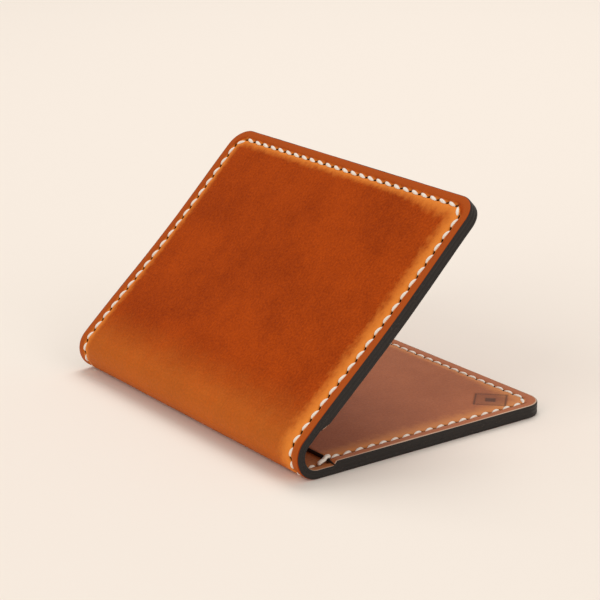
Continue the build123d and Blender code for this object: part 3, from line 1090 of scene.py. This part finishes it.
class WALLET_OT_thread(Operator):
    """Build the saddle stitching on both faces, cut where the fold's bodies change"""

    bl_idname = "wallet.thread"
    bl_label = "Saddle stitching"

    def execute(self, context):
        sizes, colours = context.scene.wallet_sizes, context.scene.wallet_colours
        waxed = make_thread_material(colours.thread)
        groups = {body: [] for body in BODIES}
        for ends in stitch_ends():
            x = (ends[0].x + ends[1].x) / 2
            index = min(max(round(x / PITCH), 0), len(BODIES) - 1)
            groups[BODIES[index]].append(ends)
        names = ("thread_back", "spine_thread_1", "spine_thread_2", "spine_thread_3", "thread_front")
        for (body, stitches), replaced in zip(groups.items(), names):
            bm = bmesh.new()
            bm.loops.layers.uv.new("ply")
            for ends in stitches:
                self.both_faces(bm, ends, sizes)
            piece = finish_mesh(bm, f"stitches_{body}", waxed, sizes.bow, 180)
            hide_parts(replaced)
            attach(piece, body)
        return {"FINISHED"}

    def both_faces(self, bm, ends, sizes):
        """One stitch on the outer face and its fellow on the inner face."""
        middle = (ends[0] + ends[1]) / 2
        run = run_of(middle.x)
        groove = sizes.groove * 0.8
        add_stitch(bm, ends, groove, -1, sizes, 0.24 * MM)
        if abs(run - PITCH) < PITCH / 10 and abs(middle.y) > LINE_Y * 0.99:
            add_wrap(bm, math.copysign(1, middle.y), middle.x >= BEND / 2, sizes)
            return
        face = FULL if run > MOUTH else LINED
        add_stitch(bm, ends, face - groove, 1, sizes, 0.2 * MM)


class WALLET_OT_stage(Operator):
    """Build the paper, the soft light and the camera"""

    bl_idname = "wallet.stage"
    bl_label = "Stage"

    def execute(self, context):
        scene = context.scene
        view, colours = scene.wallet_view, scene.wallet_colours
        self.paper(scene, colours)
        self.camera(scene, view)
        self.lights(scene, view)
        return {"FINISHED"}

    def paper(self, scene, colours):
        """Large flat sheet of pale paper."""
        bm = bmesh.new()
        bmesh.ops.create_grid(bm, x_segments=1, y_segments=1, size=6)
        mesh = bpy.data.meshes.new("paper")
        bm.to_mesh(mesh)
        bm.free()
        mesh.materials.append(make_paper(colours.paper))
        paper = bpy.data.objects.new("paper", mesh)
        scene.collection.objects.link(paper)

    def camera(self, scene, view):
        """Camera on its arm round the aim."""
        data = bpy.data.cameras.new("camera")
        data.lens, data.sensor_width = view.lens, 36
        data.clip_start = 0.01
        camera = bpy.data.objects.new("camera", data)
        azimuth, elevation = view.azimuth, view.elevation
        back = Vector(
            (
                math.sin(azimuth) * math.cos(elevation),
                -math.cos(azimuth) * math.cos(elevation),
                math.sin(elevation),
            )
        )
        turned = (-back).to_track_quat("-Z", "Y").to_matrix().to_4x4()
        place = Matrix.Translation(Vector(view.aim) + back * view.distance)
        camera.matrix_world = place @ turned @ Matrix.Rotation(view.roll, 4, "Z")
        scene.collection.objects.link(camera)
        scene.camera = camera

    def lights(self, scene, view):
        """Soft boxes over and beside the wallet, and pale light from all round."""
        boxes = (
            ("key_softbox", (0.5, 0.5, 1.3), 0.9, view.key * 1.45, (1.0, 0.97, 0.935)),
            ("left_softbox", (-1.2, -0.2, 0.8), 0.9, view.key * 0.8, (1.0, 0.97, 0.93)),
            ("front_softbox", (0.25, -1.4, 0.75), 0.9, view.key * 0.75, (1.0, 0.98, 0.96)),
        )
        target = Vector((0, 0, 0.025))
        for name, place, size, power, tint in boxes:
            data = bpy.data.lights.new(name, "AREA")
            data.shape, data.size = "SQUARE", size
            data.energy, data.color = power, tint
            light = bpy.data.objects.new(name, data)
            aim = (target - Vector(place)).to_track_quat("-Z", "Y")
            light.matrix_world = Matrix.Translation(place) @ aim.to_matrix().to_4x4()
            scene.collection.objects.link(light)
        world = bpy.data.worlds.new("pale_room")
        world.use_nodes = True
        sky = world.node_tree.nodes["Background"]
        sky.inputs["Color"].default_value = (1.0, 0.965, 0.925, 1)
        sky.inputs["Strength"].default_value = view.ambient
        scene.world = world
        scene.view_settings.view_transform = "Standard"


class WALLET_PT_panel(Panel):
    """Sidebar panel that lists the wallet's pieces and settings"""

    bl_idname = "WALLET_PT_panel"
    bl_label = "Bifold Wallet"
    bl_space_type = "VIEW_3D"
    bl_region_type = "UI"
    bl_category = "Wallet"

    def draw(self, context):
        layout = self.layout
        for settings in ("wallet_sizes", "wallet_colours", "wallet_view"):
            group = getattr(context.scene, settings)
            box = layout.box()
            for key in group.__annotations__:
                box.prop(group, key)
        for operator in OPERATORS:
            layout.operator(operator.bl_idname)


GROUPS = (WalletSizes, WalletColours, WalletView)
OPERATORS = (
    WALLET_OT_stage,
    WALLET_OT_exterior,
    WALLET_OT_lining,
    WALLET_OT_pockets,
    WALLET_OT_edges,
    WALLET_OT_thread,
)
CLASSES = GROUPS + OPERATORS + (WALLET_PT_panel,)


def register():
    """Register the classes and hang the settings on the scene."""
    for item in CLASSES:
        bpy.utils.register_class(item)
    bpy.types.Scene.wallet_sizes = PointerProperty(type=WalletSizes)
    bpy.types.Scene.wallet_colours = PointerProperty(type=WalletColours)
    bpy.types.Scene.wallet_view = PointerProperty(type=WalletView)


def unregister():
    """Take the settings off the scene and unregister the classes."""
    del bpy.types.Scene.wallet_view
    del bpy.types.Scene.wallet_colours
    del bpy.types.Scene.wallet_sizes
    for item in reversed(CLASSES):
        bpy.utils.unregister_class(item)


def main():
    """Build the whole wallet on its stage."""
    register()
    bpy.ops.wallet.stage()
    bpy.ops.wallet.exterior()
    bpy.ops.wallet.lining()
    bpy.ops.wallet.pockets()
    bpy.ops.wallet.edges()
    bpy.ops.wallet.thread()


if __name__ == "__main__":
    main()
